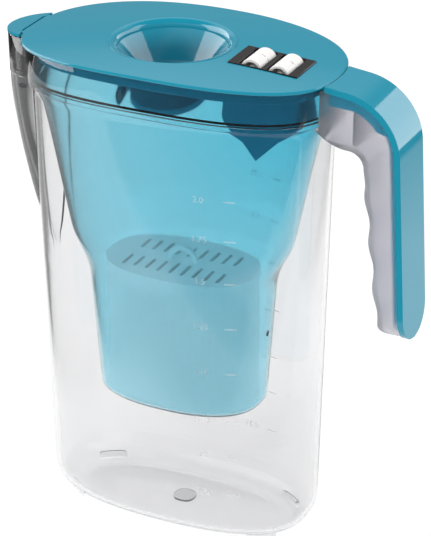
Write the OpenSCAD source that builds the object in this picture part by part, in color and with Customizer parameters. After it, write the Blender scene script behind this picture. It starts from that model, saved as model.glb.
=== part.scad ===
// Water filter pitcher: a clear oval jug with a pouring spout and a half-open handle,
// a coloured hopper that hangs in it, a lid with a filling funnel, a spout cap and a
// two-wheel calendar, and an oval filter cartridge in the hopper's well.
// The origin is the centre of the jug's standing face. +X is the handle, -X the spout, +Z up.

/* [Jug] */
// Length of the body at its foot
foot_length = 157; // [150:0.5:162]
// Width of the body at its foot
foot_width = 81.2; // [76:0.2:86]
// Length of the body just under the ledge
neck_length = 168; // [164:0.5:172]
// Width of the body just under the ledge
neck_width = 100.4; // [98:0.2:104]
// How far the rim band stands out from the neck
ledge_step = 2.7; // [2.5:0.1:3.2]
// Height of the jug's rim at mid length
rim_z = 278.2; // [265:0.1:290]
// Depth of the rim band, from the rim to the shelf that carries the hopper
band_depth = 20.2; // [18:0.1:22]
// Drop of the arched rim and lid from the middle to the lid's end
arch_drop = 4.3; // [3:0.1:5]
// Wall of the clear jug
jug_wall = 2.4; // [2:0.1:2.8]
// Radius of the rounded bottom corner
corner_r = 17.4; // [14:0.2:20]
// Height of the standing arcs under the base
foot_rise = 0.8; // [0.6:0.1:1.2]

/* [Spout] */
// How far the spout reaches past the neck
spout_reach = 18.6; // [16:0.2:20]
// Width across the spout at its top
spout_width = 38; // [36:0.5:42]
// Height at which the spout leaves the wall
spout_low_z = 148; // [130:1:165]
// Height over which the spout grows to its full reach
spout_rise = 102; // [90:1:106]

/* [Handle] */
// Width of the handle and its cover
handle_width = 32; // [28:0.5:34]
// Thickness of the outer cover strip
cover_t = 3.4; // [2.8:0.1:4]
// Radius of the cover's bend
bend_r = 34.3; // [30:0.1:36]
// Distance of the bend's centre from the jug's axis
bend_x = 96; // [94:0.5:100]
// Depth of the bend's centre below the rim
bend_drop = 38.2; // [36:0.1:41]
// Outward lean of the grip
grip_lean = 3.1; // [1:0.1:5]
// Depth of the handle's free end below the rim
handle_length = 142.2; // [128:0.1:158]
// Depth of the grip at the index finger
grip_depth = 17.1; // [15:0.1:19]
// Length of one finger groove
finger_pitch = 25.8; // [22:0.2:28]
// Depth of the finger grooves
finger_wave = 0.9; // [0.5:0.1:1.4]
// Wall of the clear grip channel
grip_wall = 2.4; // [2:0.1:3]

/* [Hopper] */
// Gap between the jug and the hopper's collar
hopper_gap = 0.4; // [0.3:0.05:0.6]
// Wall of the hopper
hopper_wall = 1.8; // [1.5:0.1:2.2]
// Length of the reservoir where the shoulder starts
reservoir_length = 125.4; // [118:0.5:132]
// Width of the reservoir where the shoulder starts
reservoir_width = 82; // [78:0.5:86]
// Height at which the shoulder starts
reservoir_z = 171; // [166:0.5:178]
// Length of the cartridge well at its top
well_length = 105; // [102:0.5:110]
// Width of the cartridge well at its top
well_width = 72; // [70:0.5:76]
// Height of the top of the well
well_z = 146; // [140:0.5:152]
// Length of the well at its bottom
well_foot_length = 95.2; // [94:0.2:100]
// Width of the well at its bottom
well_foot_width = 62; // [61:0.2:66]
// Height of the underside of the well
well_low_z = 73; // [66:0.5:80]
// Length of the oval outlet in the well's floor
outlet_length = 80; // [76:0.5:82]
// Width of the oval outlet in the well's floor
outlet_width = 39.4; // [36:0.2:41]

/* [Lid] */
// Thickness of the lid plate
plate_t = 1.6; // [1.4:0.1:2.2]
// How far the lid reaches past the jug's rim
lid_overhang = 2.5; // [2:0.1:3.5]
// Gap between the lid's skirt and the hopper's collar
skirt_gap = 0.5; // [0.4:0.05:0.8]
// Wall of the lid's skirt
skirt_wall = 1.6; // [1.3:0.1:2]
// Depth of the skirt below the plate
skirt_depth = 7.6; // [5:0.1:9]
// Outer diameter of the funnel's rolled rim
funnel_d = 68; // [64:0.5:70]
// Inner diameter of the funnel at its bottom
throat_d = 41; // [38:0.5:44]
// Depth of the funnel below the lid's top
funnel_depth = 27; // [25:0.5:31]
// Width of the funnel's rolled rim, seen from above
funnel_roll = 4.5; // [3:0.1:6]
// Depth at which the rolled rim turns into the cone
funnel_drop = 4.3; // [3:0.1:6]
// Place of the funnel along the lid
funnel_x = -5.6; // [-8:0.2:-5]

/* [Filling flap] */
// Thickness of the flap under the funnel
flap_t = 1.7; // [1.4:0.1:2.2]
// Diameter of the flap's hinge pin
flap_pin_d = 2.4; // [2:0.1:3]

/* [Spout cap] */
// Gap between the lid's end and the spout cap
cap_gap = 1.3; // [1.2:0.1:1.8]
// Diameter of the spout cap's hinge pin
cap_pin_d = 1.7; // [1.5:0.05:1.9]

/* [Hinges] */
// Radial running clearance of every pin
pin_play = 0.06; // [0.04:0.01:0.09]

/* [Calendar] */
// Length of the calendar frame along the lid
frame_length = 39; // [38:0.5:42]
// Width of the calendar frame
frame_width = 25.4; // [25:0.2:28]
// Place of the calendar along the lid
calendar_x = 53; // [52:0.5:54]
// Place of the calendar across the lid
calendar_y = -3; // [-4:0.2:0]
// Height of the calendar frame above the lid
frame_rise = 0.5; // [0.3:0.1:0.8]
// Diameter of the number wheels
wheel_d = 12.4; // [11.6:0.1:13]
// Length of the number wheels
wheel_length = 19.6; // [18:0.2:20.4]
// Height of the wheels above the frame
wheel_proud = 2.1; // [1.6:0.1:2.6]
// Gap between the two wheels
wheel_gap = 3.1; // [2.6:0.1:3.6]
// Diameter of the wheel axles
axle_d = 2; // [1.6:0.1:2.4]

/* [Cartridge] */
// Length of the cartridge body
cartridge_length = 86; // [82:0.5:88]
// Width of the cartridge body
cartridge_width = 52.8; // [50:0.2:54.4]
// Height of the cartridge body above the well's floor
cartridge_height = 74; // [66:0.5:80]
// Wall of the cartridge body
cartridge_wall = 1.6; // [1.2:0.1:2]
// Clearance of the cartridge's seal in the outlet
seal_gap = 0.2; // [0.1:0.05:0.3]

/* [Hidden] */
$fn = 64;

clear_col = "gainsboro";
teal_col = "cadetblue";
hopper_col = "skyblue";
dark_col = "dimgray";
white_col = "white";

// Plan curve shared by the jug, hopper and lid: |x/a|^end_power + |y/b|^side_power = 1
end_power = 2.36;
side_power = 2.45;
body_steps = 50;
spout_steps = 14;

function reverse(list) = [for (i = [len(list) - 1:-1:0]) list[i]];
function clamp01(v) = max(0, min(1, v));
function mix(p, q, k) = p + (q - p) * k;
function smooth(k) = let (c = clamp01(k)) c * c * (3 - 2 * c);
function signed_pow(v, e) = sign(v) * pow(abs(v), e);
function oval_point(a, b, t) =
    [a * signed_pow(cos(t), 2 / end_power), b * signed_pow(sin(t), 2 / side_power)];
function oval(a, b, steps = 72) = [for (i = [0:steps - 1]) oval_point(a, b, 360 * i / steps)];
// Half length of the oval at a distance y from its long axis
function reach(y, a, b) =
    a * pow(max(0, 1 - pow(abs(y) / b, side_power)), 1 / end_power);
function lift(ring, z) = [for (p = ring) [p[0], p[1], z]];

ledge_z = rim_z - band_depth;
bend_z = rim_z - bend_drop;
handle_low_z = rim_z - handle_length;
rim_a = neck_length / 2 + ledge_step;
rim_b = neck_width / 2 + ledge_step;
lid_a = rim_a + lid_overhang;
lid_b = rim_b + lid_overhang;
seat_gap = 0.2;
lid_top = rim_z + seat_gap + plate_t;
arch_r = (lid_a * lid_a + arch_drop * arch_drop) / (2 * arch_drop);
// Drop of the arch at a place x along the pitcher
function sag(x) = arch_r - sqrt(arch_r * arch_r - x * x);

// A closed skin through rings of equal count; a looped skin has no end caps
module skin(rings, looped = false) {
    count = len(rings[0]);
    levels = len(rings);
    walls = [for (j = [0:levels - (looped ? 1 : 2)], i = [0:count - 1])
        let (k = (i + 1) % count, l = (j + 1) % levels)
        [j * count + i, l * count + i, l * count + k, j * count + k]];
    caps = looped ? [] : [[for (i = [0:count - 1]) i],
        [for (i = [count - 1:-1:0]) (levels - 1) * count + i]];
    polyhedron([for (r = rings) each r], concat(walls, caps), convexity = 8);
}

// Pieces of one moulding joined to a single skin
module moulded() {
    resize([0, 0, 0]) union() { children(); }
}

// ---- Jug ----

floor_z = foot_rise + 2.6;
recess = 1.2;
step_rise = 3.2;
spout_half = spout_width / 2;

function body_a(z) = mix(foot_length, neck_length, z / ledge_z) / 2;
function body_b(z) = mix(foot_width, neck_width, z / ledge_z) / 2;
function spout_share(z) = clamp01((z - spout_low_z) / spout_rise);
function spout_tip(z) = body_a(z) + spout_reach * pow(sin(90 * spout_share(z)), 1.1);
function spout_w(z) = max(4, spout_half * pow(spout_share(z), 0.35));

// One ring of the jug: size at the outside, inset of this surface, height and arch share
function jug_ring(z, step, inset, arch) =
    let (a = body_a(z) + step - inset, b = body_b(z) + step - inset,
         w = max(2, spout_w(z) - inset), s = max(0, spout_tip(z) - inset - a),
         start = 180 - asin(pow(w / b, side_power / 2)),
         plan = concat(
            [for (i = [0:body_steps]) oval_point(a, b, start * (2 * i / body_steps - 1))],
            [for (i = [1:spout_steps - 1]) let (phi = 90 - 180 * i / spout_steps)
                [-reach(w * sin(phi), a, b) - s * cos(phi), w * sin(phi)]]))
    [for (p = plan) [p[0], p[1], z - arch * sag(p[0])]];

function corner_ring(q, r) =
    jug_ring(foot_rise + corner_r - r * cos(q), 0, corner_r - r * sin(q), 0);

// Surface heights between which the arch of the rim fades out
function arch_share(z) = smooth((z - ledge_z + 40) / 36);

function jug_outside() = concat(
    [jug_ring(foot_rise + recess, 0, corner_r + 4, 0), jug_ring(foot_rise, 0, corner_r + 3, 0)],
    [for (q = [0:15:90]) corner_ring(q, corner_r)],
    [for (k = [0.22, 0.45, 0.55, 0.62, 0.7, 0.78, 0.86, 0.93])
        jug_ring(k * ledge_z, 0, 0, arch_share(k * ledge_z))],
    [jug_ring(ledge_z - step_rise, 0, 0, 1),
     jug_ring(ledge_z - step_rise * 0.84, ledge_step * 0.2, 0, 1),
     jug_ring(ledge_z - step_rise * 0.62, ledge_step * 0.88, 0, 1),
     jug_ring(ledge_z - step_rise * 0.4, ledge_step, 0, 1),
     jug_ring(rim_z - 0.8, ledge_step, 0, 1), jug_ring(rim_z, ledge_step, 0.7, 1)]);

function jug_inside() = concat(
    [jug_ring(rim_z, ledge_step, jug_wall - 0.5, 1),
     jug_ring(rim_z - 0.6, ledge_step, jug_wall, 1),
     jug_ring(ledge_z, ledge_step, jug_wall, 1),
     jug_ring(ledge_z - 0.05, 0.4, jug_wall, 1), jug_ring(ledge_z - 0.6, 0, jug_wall, 1)],
    [for (k = [0.93, 0.86, 0.78, 0.7, 0.62, 0.55, 0.45, 0.22])
        jug_ring(k * ledge_z, 0, jug_wall, arch_share(k * ledge_z))],
    [for (q = [90:-15:30]) corner_ring(q, corner_r - jug_wall)],
    [jug_ring(floor_z, 0, corner_r - 2, 0)]);

// Four arcs that the jug stands on, under the rounded corner
module standing_arcs() {
    inset = corner_r * 0.42;
    arc_t = corner_r * 0.14;
    height = foot_rise + corner_r * 0.24;
    outer_a = foot_length / 2 - inset;
    outer_b = foot_width / 2 - inset;
    intersection() {
        difference() {
            linear_extrude(height) polygon(oval(outer_a, outer_b));
            translate([0, 0, -1]) linear_extrude(height + 2)
                polygon(oval(outer_a - arc_t, outer_b - arc_t));
        }
        for (sx = [-1, 1], sy = [-1, 1])
            translate([sx * foot_length * 0.325, sy * foot_width * 0.33, 0])
                cube([foot_length * 0.14, foot_width * 0.2, 4 * height], center = true);
    }
}

module jug() {
    color(clear_col, 0.4) moulded() {
        skin(concat(jug_outside(), jug_inside()));
        standing_arcs();
        // Round gate pad, a hair above the table
        translate([0, 0, 0.2]) cylinder(d = 12.5, h = foot_rise + recess + 0.4);
    }
}

// ---- Handle ----
// Profiles are drawn with X outwards and Y as height, then stood up.

module stand_up(width) {
    translate([0, width / 2, 0]) rotate([90, 0, 0]) linear_extrude(width) children();
}

top_slope = 6.9;
bend_steps = 14;
plug_depth = 9.2;
plug_low_z = bend_z + 24.8;
// Points on the handle's bend, at an inset from the cover's face
function handle_arc(inset, from, to) =
    [for (i = [0:bend_steps]) let (t = mix(from, to, i / bend_steps))
        [bend_x + (bend_r - inset) * cos(t), bend_z + (bend_r - inset) * sin(t)]];
// A line parallel to the cover's face, inset from it: flat top, bend and leaning grip
function handle_line(inset, start_x, end_z) =
    let (r = bend_r - inset,
         first = [bend_x + r * sin(top_slope), bend_z + r * cos(top_slope)])
    concat([[start_x, first[1] + (first[0] - start_x) * tan(top_slope)]],
        handle_arc(inset, 90 - top_slope, grip_lean), [handle_low(inset, end_z)]);
// The point of that line's leaning part at a height
function handle_low(inset, z) =
    let (r = bend_r - inset,
         last = [bend_x + r * cos(grip_lean), bend_z + r * sin(grip_lean)])
    [last[0] + (last[1] - z) * tan(grip_lean), z];

// The tongue shape of the free end, seen from outside
module tongue(width, low_z) {
    r = width / 2;
    translate([0, 0, low_z + r]) rotate([0, 90, 0]) cylinder(r = r, h = 200);
    translate([0, -r, low_z + r]) cube([200, width, 300]);
}

cover_start = reach(handle_width / 2, lid_a, lid_b);
arm_low_z = bend_z + 2.6;
arm_fillet = 9;
arm_rise = 9;
grip_top = [bend_x + bend_r - cover_t - grip_depth + 0.6, arm_low_z - arm_fillet];
function groove(z) = finger_wave * sin(360 * (grip_top[1] - 22 - z) / finger_pitch);
// Distance of the palm line from the jug's axis below the arm
function palm_x(z) = grip_top[0] + (grip_top[1] - z) * 0.115
    + groove(z) * smooth((grip_top[1] - z) / 16);
palm_end_r = 8;
palm_end_z = handle_low_z + 1.2 + palm_end_r;
// Inner line of the grip from the jug to its free end, moved towards the palm by inset
function palm_line(inset, start_x) = concat(
    [for (i = [0:6]) let (k = i / 6)
        [mix(start_x, grip_top[0] - arm_fillet, k), arm_low_z + inset + arm_rise * (1 - k) * (1 - k)]],
    [for (t = [75:-15:0])
        [grip_top[0] - arm_fillet + (arm_fillet + inset) * cos(t),
         grip_top[1] + (arm_fillet + inset) * sin(t)]],
    [for (i = [1:24]) let (z = mix(grip_top[1], palm_end_z, i / 24)) [palm_x(z) + inset, z]],
    [for (t = [15:15:90]) [palm_x(palm_end_z) + palm_end_r - (palm_end_r - inset) * cos(t),
        palm_end_z - (palm_end_r - inset) * sin(t)]]);

module grip_profile(inset, outer_inset, start_x) {
    outer = handle_line(outer_inset, start_x, handle_low_z);
    inner = palm_line(inset, start_x);
    polygon(concat(outer, reverse(inner)));
}

// The clear channel: open on its outer side, where the cover closes it
module handle_grip() {
    side = handle_width / 2 - grip_wall;
    arm_x = rim_a - 5;
    color(clear_col, 0.4) moulded() {
        difference() {
            intersection() {
                stand_up(handle_width - 0.6) grip_profile(0, cover_t + 0.05, arm_x);
                tongue(handle_width - 0.6, handle_low_z + 0.6);
            }
            difference() {
                intersection() {
                    stand_up(2 * side) grip_profile(grip_wall, cover_t - 2, arm_x - 20);
                    tongue(2 * side, handle_low_z + 4);
                }
                // Web across the arm and the wall next to the jug
                translate([bend_x + 7.5, -side - 1, arm_low_z - 4])
                    cube([1.6, 2 * side + 2, plug_low_z - arm_low_z + 2.5]);
                translate([rim_a - 8, -side - 1, arm_low_z - 6]) cube([9.4, 2 * side + 2, 20]);
            }
            skin([for (z = [ledge_z - 3 * band_depth, ledge_z - step_rise]) jug_ring(z, 0, -0.1, 1)]);
            skin([for (z = [ledge_z - step_rise - 0.4, rim_z + band_depth])
                jug_ring(z, ledge_step, -0.1, 1)]);
        }
    }
}

// The coloured strip with the plug that fills the top of the channel, and the rib that
// stiffens it down the grip
module handle_cover() {
    plug_w = handle_width - 2 * grip_wall - 0.6;
    rib_w = plug_w - 7;
    rib_depth = cover_t + 4.2;
    rib_low_z = handle_low_z + 9;
    color(teal_col) difference() {
        union() {
            intersection() {
                stand_up(handle_width) polygon(concat(
                    handle_line(0, cover_start - 4, handle_low_z),
                    reverse(handle_line(cover_t, cover_start - 4, handle_low_z))));
                tongue(handle_width, handle_low_z);
            }
            stand_up(plug_w) polygon(concat(
                [[rim_a + 2, bend_z + bend_r - cover_t / 2], [rim_a + 2, plug_low_z]],
                handle_arc(plug_depth, 72, 36), handle_arc(cover_t - 0.3, 24, 80)));
            stand_up(rib_w) polygon(concat(handle_arc(cover_t - 0.3, 50, grip_lean),
                [handle_low(cover_t - 0.3, rib_low_z), handle_low(rib_depth, rib_low_z)],
                handle_arc(rib_depth, grip_lean, 50)));
        }
        translate([0, 0, ledge_z - 20]) linear_extrude(60)
            polygon(oval(lid_a + 0.3, lid_b + 0.3));
    }
}

// ---- Hopper ----

collar_a = rim_a - jug_wall - hopper_gap;
collar_b = rim_b - jug_wall - hopper_gap;
shelf_z = ledge_z + seat_gap;
inner_neck_gap = 0.8;

// Half size of the hopper's outside below the shelf
function hopper_size(z, top, shoulder, well, foot) =
    let (upper = mix(shoulder, top, (z - reservoir_z) / (ledge_z - reservoir_z)),
         lower = mix(foot, well, (z - well_low_z) / (well_z - well_low_z)))
    mix(lower, upper, smooth((z - well_z + 2) / (reservoir_z - well_z + 4)));
function hopper_a(z) = hopper_size(z, body_a(ledge_z) - jug_wall - inner_neck_gap,
    reservoir_length / 2, well_length / 2, well_foot_length / 2);
function hopper_b(z) = hopper_size(z, body_b(ledge_z) - jug_wall - inner_neck_gap,
    reservoir_width / 2, well_width / 2, well_foot_width / 2);

function hopper_ring(z, inset, arch) =
    [for (p = oval(hopper_a(z) - inset, hopper_b(z) - inset, ring_steps))
        [p[0], p[1], z - arch * sag(p[0])]];
function collar_ring(z, inset) =
    [for (p = oval(collar_a - inset, collar_b - inset, ring_steps)) [p[0], p[1], z - sag(p[0])]];
function outlet_ring(z, more) =
    lift([for (i = [0:ring_steps - 1]) let (t = 360 * i / ring_steps)
        [(outlet_length / 2 + more) * cos(t), (outlet_width / 2 + more) * sin(t)]], z);

ring_steps = 56;
hopper_zs = [for (k = [0.3, 0.52, 0.74]) mix(reservoir_z, ledge_z, k)];
shoulder_zs = [for (k = [-0.2:0.2:1.25]) mix(well_z, reservoir_z, k)];
well_corner = 4;

function hopper_outside() = concat(
    [for (q = [10:20:90]) hopper_ring(well_low_z + well_corner * (1 - cos(q)),
        well_corner * (1 - sin(q)), 0)],
    [for (z = concat([mix(well_low_z, well_z, 0.5)], shoulder_zs, hopper_zs))
        hopper_ring(z, 0, arch_share(z))],
    [hopper_ring(shelf_z - 1.4, 0, 1), hopper_ring(shelf_z, -0.2, 1),
     collar_ring(shelf_z, 0.2), collar_ring(shelf_z + 0.6, 0),
     collar_ring(rim_z - 0.6, 0), collar_ring(rim_z - 0.1, 0.5)]);
function hopper_inside() = concat(
    [collar_ring(rim_z - 0.1, hopper_wall - 0.4), collar_ring(rim_z - 0.6, hopper_wall),
     collar_ring(shelf_z + hopper_wall + 0.4, hopper_wall),
     hopper_ring(shelf_z + 0.2, hopper_wall, 1)],
    [for (z = reverse(concat([mix(well_low_z, well_z, 0.5)], shoulder_zs, hopper_zs)))
        hopper_ring(z, hopper_wall, arch_share(z))],
    [for (q = [90:-20:10]) hopper_ring(well_low_z + well_corner - (well_corner - hopper_wall)
        * cos(q), well_corner - (well_corner - hopper_wall) * sin(q), 0)]);

module hopper() {
    color(hopper_col, 0.7) moulded() difference() {
        skin(concat([outlet_ring(well_low_z, 0)], hopper_outside(), hopper_inside(),
            [outlet_ring(well_low_z + hopper_wall, 0)]), looped = true);
        // Air vent in the wall of the well
        translate([0, 0, well_z - 27]) rotate([0, 90, 0]) cylinder(d = 3, h = well_length, $fn = 16);
    }
}

// ---- Lid ----

skirt_a = collar_a - hopper_wall - skirt_gap;
skirt_b = collar_b - hopper_wall - skirt_gap;
skirt_low_z = lid_top - plate_t - skirt_depth;
cap_axis_x = 0.7 - lid_a;
cap_axis_z = lid_top - sag(cap_axis_x) - 1.7;
funnel_wall = 2;
flap_axis_x = funnel_x - throat_d / 2 - 4.7;
flap_axis_z = lid_top - funnel_depth - 1.9;
barrel_r = 2.2;
knuckle_r = 1.65;
knuckle_y = 11.6;
cap_knuckle = 2.8;
knuckle_mid = knuckle_y + 0.3 + cap_knuckle / 2;

// A slab that follows the arch, between two depths below the lid's top
module arched(depth_top, depth_low) {
    translate([0, 100, lid_top - arch_r]) rotate([90, 0, 0]) difference() {
        cylinder(r = arch_r - depth_top, h = 200, $fn = 200);
        translate([0, 0, -1]) cylinder(r = arch_r - depth_low, h = 202, $fn = 200);
    }
}

// Half profile of the funnel's face, from the lid's top over the roll to the crease
function funnel_face() = [for (t = [0:10:90])
    [funnel_d / 2 - funnel_roll * sin(t), -funnel_drop * (1 - cos(t))]];

// Wall of the funnel: a rolled rim, then a cone down to the throat
module funnel_shell() {
    r_low = throat_d / 2;
    curve = funnel_face();
    back = [for (t = [90:-10:0])
        [funnel_d / 2 - (funnel_roll - funnel_wall) * sin(t),
        -funnel_drop * (1 - cos(t)) - plate_t * cos(t)]];
    translate([funnel_x, 0, lid_top - sag(funnel_x)]) rotate_extrude($fn = 96)
        polygon(concat(curve, [[r_low, -funnel_depth], [r_low + funnel_wall, -funnel_depth]],
            back));
}

module lid() {
    ear_y = 10.5;
    color(teal_col) difference() {
        union() {
            intersection() {
                arched(0, plate_t);
                translate([0, 0, rim_z - 10]) linear_extrude(20) polygon(oval(lid_a, lid_b));
            }
            // Skirt inside the hopper's collar
            intersection() {
                arched(plate_t - 0.4, plate_t + skirt_depth);
                difference() {
                    translate([0, 0, rim_z - 30]) linear_extrude(40)
                        polygon(oval(skirt_a, skirt_b));
                    translate([0, 0, rim_z - 31]) linear_extrude(42)
                        polygon(oval(skirt_a - skirt_wall, skirt_b - skirt_wall));
                }
            }
            funnel_shell();
            // Knuckle for the spout cap
            translate([cap_axis_x, -knuckle_y, cap_axis_z]) rotate([-90, 0, 0])
                cylinder(r = knuckle_r, h = 2 * knuckle_y);
            // Ears for the filling flap
            for (s = [-1, 1]) translate([flap_axis_x, s * ear_y - 1.3, flap_axis_z]) {
                rotate([-90, 0, 0]) cylinder(r = barrel_r, h = 2.6);
                translate([-barrel_r, 0, 0]) cube([2 * barrel_r, 2.6, 4]);
                translate([-barrel_r, 0, flap_t + seat_gap + 0.2]) cube([barrel_r + 6.9, 2.6, 7]);
            }
        }
        intersection() {
            translate([funnel_x, 0, 0]) cylinder(d = funnel_d - 0.02, h = lid_top + 10);
            translate([funnel_x, 0, lid_top - sag(funnel_x)]) funnel_void();
        }
        on_calendar() translate([-frame_length / 2 - 0.2, -frame_width / 2 - 0.2, -4])
            cube([frame_length + 0.4, frame_width + 0.4, 8]);
        translate([cap_axis_x, -20, cap_axis_z]) rotate([-90, 0, 0])
            cylinder(d = cap_pin_d + 2 * pin_play, h = 40);
        for (s = [-1, 1])
            translate([cap_axis_x - 4, s * knuckle_mid - cap_knuckle / 2 - 0.25, cap_axis_z - 6])
                cube([4 + knuckle_r + 0.3, cap_knuckle + 0.5, 12]);
        translate([flap_axis_x, -20, flap_axis_z]) rotate([-90, 0, 0])
            cylinder(d = flap_pin_d + 2 * pin_play, h = 40);
    }
}

// The open space of the funnel, used to clear the plate above it
module funnel_void() {
    r_low = throat_d / 2;
    rotate_extrude($fn = 96) polygon(concat([[0, 5], [funnel_d / 2, 5]], funnel_face(),
        [[r_low, -funnel_depth], [r_low, -funnel_depth - 1], [0, -funnel_depth - 1]]));
}

// ---- Filling flap ----

module filling_flap() {
    top_z = lid_top - funnel_depth - seat_gap;
    disc_r = throat_d / 2 + 1.6;
    color(teal_col) difference() {
        union() {
            translate([funnel_x, 0, top_z - flap_t]) cylinder(r = disc_r, h = flap_t);
            translate([funnel_x, 0, top_z - flap_t - 1.4]) difference() {
                cylinder(r = disc_r - 4, h = 2);
                translate([0, 0, -1]) cylinder(r = disc_r - 5.6, h = 4);
            }
            translate([flap_axis_x, -8.8, flap_axis_z]) rotate([-90, 0, 0])
                cylinder(r = barrel_r, h = 17.6);
            translate([flap_axis_x, -8.8, top_z - flap_t]) cube([14, 17.6, flap_t]);
        }
        translate([flap_axis_x, -20, flap_axis_z]) rotate([-90, 0, 0])
            cylinder(d = flap_pin_d + 2 * pin_play, h = 40);
    }
}

module flap_pin() {
    color("silver") translate([flap_axis_x, -11.6, flap_axis_z]) rotate([-90, 0, 0])
        cylinder(d = flap_pin_d, h = 23.2);
}

// ---- Spout cap ----

cap_over = 0.3;
// Plan of the spout's mouth, carried past its rim
function mouth_plan() =
    let (w = spout_half + cap_over, s = spout_tip(rim_z) + cap_over - rim_a)
    concat([[-rim_a * 0.8, w]],
        [for (i = [0:24]) let (phi = 90 - 180 * i / 24, y = w * sin(phi))
            [-reach(y, rim_a, rim_b) - s * cos(phi), y]],
        [[-rim_a * 0.8, -w]]);

module spout_cap() {
    knuckle_end = knuckle_mid + cap_knuckle / 2;
    color(teal_col) difference() {
        union() {
            difference() {
                intersection() {
                    arched(0, plate_t);
                    translate([0, 0, rim_z - 12]) linear_extrude(20) polygon(mouth_plan());
                }
                translate([0, 0, rim_z - 13]) linear_extrude(24)
                    polygon(oval(lid_a + cap_gap, lid_b + cap_gap, 120));
                // Room for the lid's knuckle, and for the tips to swing over the rim
                translate([cap_axis_x - knuckle_r - 0.3, -knuckle_y - 0.3, rim_z - 13])
                    cube([20, 2 * knuckle_y + 0.6, 24]);
                translate([cap_axis_x + 0.2, -30, rim_z - 13]) cube([20, 60, 24]);
            }
            for (s = [-1, 1])
                translate([cap_axis_x, s * knuckle_mid - cap_knuckle / 2, cap_axis_z])
                    rotate([-90, 0, 0]) cylinder(r = knuckle_r - 0.05, h = cap_knuckle);
        }
        translate([cap_axis_x, -knuckle_end - 5, cap_axis_z]) rotate([-90, 0, 0])
            cylinder(d = cap_pin_d + 2 * pin_play, h = 2 * knuckle_end + 10);
    }
}

module spout_pin() {
    half = knuckle_mid + cap_knuckle / 2 - 0.1;
    color("silver") translate([cap_axis_x, -half, cap_axis_z]) rotate([-90, 0, 0])
        cylinder(d = cap_pin_d, h = 2 * half);
}

// ---- Calendar ----

calendar_tilt = asin(calendar_x / arch_r);
frame_t = plate_t + frame_rise + 0.2;
wheel_r = wheel_d / 2;
wheel_y = 0.9;
axle_depth = wheel_r - wheel_proud;
housing_wall = 1.4;
housing_over = 0.8;
wheel_pitch = wheel_d + wheel_gap;

// Frame of the calendar: its own top face at height 0, tilted with the arched lid
module on_calendar() {
    translate([calendar_x, calendar_y, lid_top - sag(calendar_x) + frame_rise])
        rotate([0, calendar_tilt, 0]) children();
}

module calendar_frame() {
    slot = [wheel_d + 0.6, frame_width - 2.2];
    color(dark_col) on_calendar() difference() {
        translate([-frame_length / 2, -frame_width / 2, -frame_t])
            cube([frame_length, frame_width, frame_t]);
        for (s = [-1, 1])
            translate([s * wheel_pitch / 2 - slot[0] / 2, -slot[1] / 2 - 0.3, -5])
                cube([slot[0], slot[1], 10]);
    }
}

// Box under the lid with a keel-shaped bottom; its end walls carry the axles and its
// flange bears on the underside of the lid
module calendar_housing() {
    box_l = frame_length + 2 * housing_over;
    box_w = frame_width + 2 * housing_over;
    box_h = 25.4;
    keel = 23;
    flange = 2;
    top = -frame_t - 0.15;
    inner = box_w / 2 - housing_wall;
    boss = inner - wheel_y - wheel_length / 2 - 0.2;
    near_boss = inner + wheel_y - wheel_length / 2 - 0.2;
    color("teal") on_calendar() difference() {
        union() {
            translate([0, box_w / 2, top]) rotate([90, 0, 0])
                linear_extrude(box_w) polygon([[-box_l / 2, 0], [-box_l / 2, -box_h],
                    [0, -box_h - keel], [box_l / 2, -box_h], [box_l / 2, 0]]);
            translate([-box_l / 2 - flange, -box_w / 2 - flange, top - 1.2])
                cube([box_l + 2 * flange, box_w + 2 * flange, 1.2]);
        }
        difference() {
            translate([-box_l / 2 + housing_wall, -inner, -box_h + 6])
                cube([box_l - 2 * housing_wall, 2 * inner, box_h]);
            for (s = [-1, 1]) translate([s * wheel_pitch / 2, 0, -axle_depth]) rotate([-90, 0, 0]) {
                translate([0, 0, inner - boss]) cylinder(r = axle_d / 2 + 1.4, h = boss + 1);
                translate([0, 0, -inner - 1]) cylinder(r = axle_d / 2 + 1.4, h = near_boss + 1);
            }
        }
        for (s = [-1, 1]) translate([s * wheel_pitch / 2, -30, -axle_depth])
            rotate([-90, 0, 0]) cylinder(d = axle_d + 2 * pin_play, h = 60);
    }
}

module number_wheel(side) {
    color(white_col) on_calendar()
        translate([side * wheel_pitch / 2, wheel_y - wheel_length / 2, -axle_depth])
        rotate([-90, 0, 0]) difference() {
            cylinder(r = wheel_r, h = wheel_length);
            for (z = [-1, wheel_length / 2 + 1]) translate([0, 0, z]) difference() {
                cylinder(r = wheel_r - 1.4, h = wheel_length / 2);
                translate([0, 0, -1]) cylinder(r = axle_d / 2 + 1.4, h = wheel_length);
            }
            translate([0, 0, -1]) cylinder(d = axle_d + 2 * pin_play, h = wheel_length + 2);
        }
}

module month_wheel() { number_wheel(-1); }
module day_wheel() { number_wheel(1); }

module wheel_axles() {
    length = frame_width + 2 * housing_over - 0.4;
    color("silver") on_calendar() for (s = [-1, 1])
        translate([s * wheel_pitch / 2, -length / 2, -axle_depth])
            rotate([-90, 0, 0]) cylinder(d = axle_d, h = length);
}

// ---- Cartridge ----

cart_a = cartridge_length / 2;
cart_b = cartridge_width / 2;
cart_low = well_low_z + hopper_wall + seat_gap;
cart_top = cart_low + cartridge_height;
cart_floor = 2.4;
spigot_low = well_low_z - 3;
spigot_a = outlet_length / 2 - 1.6;
spigot_b = outlet_width / 2 - 1.6;
screen_t = 0.8;

module ellipse(a, b) {
    polygon([for (i = [0:63]) [a * cos(360 * i / 64), b * sin(360 * i / 64)]]);
}

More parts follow.
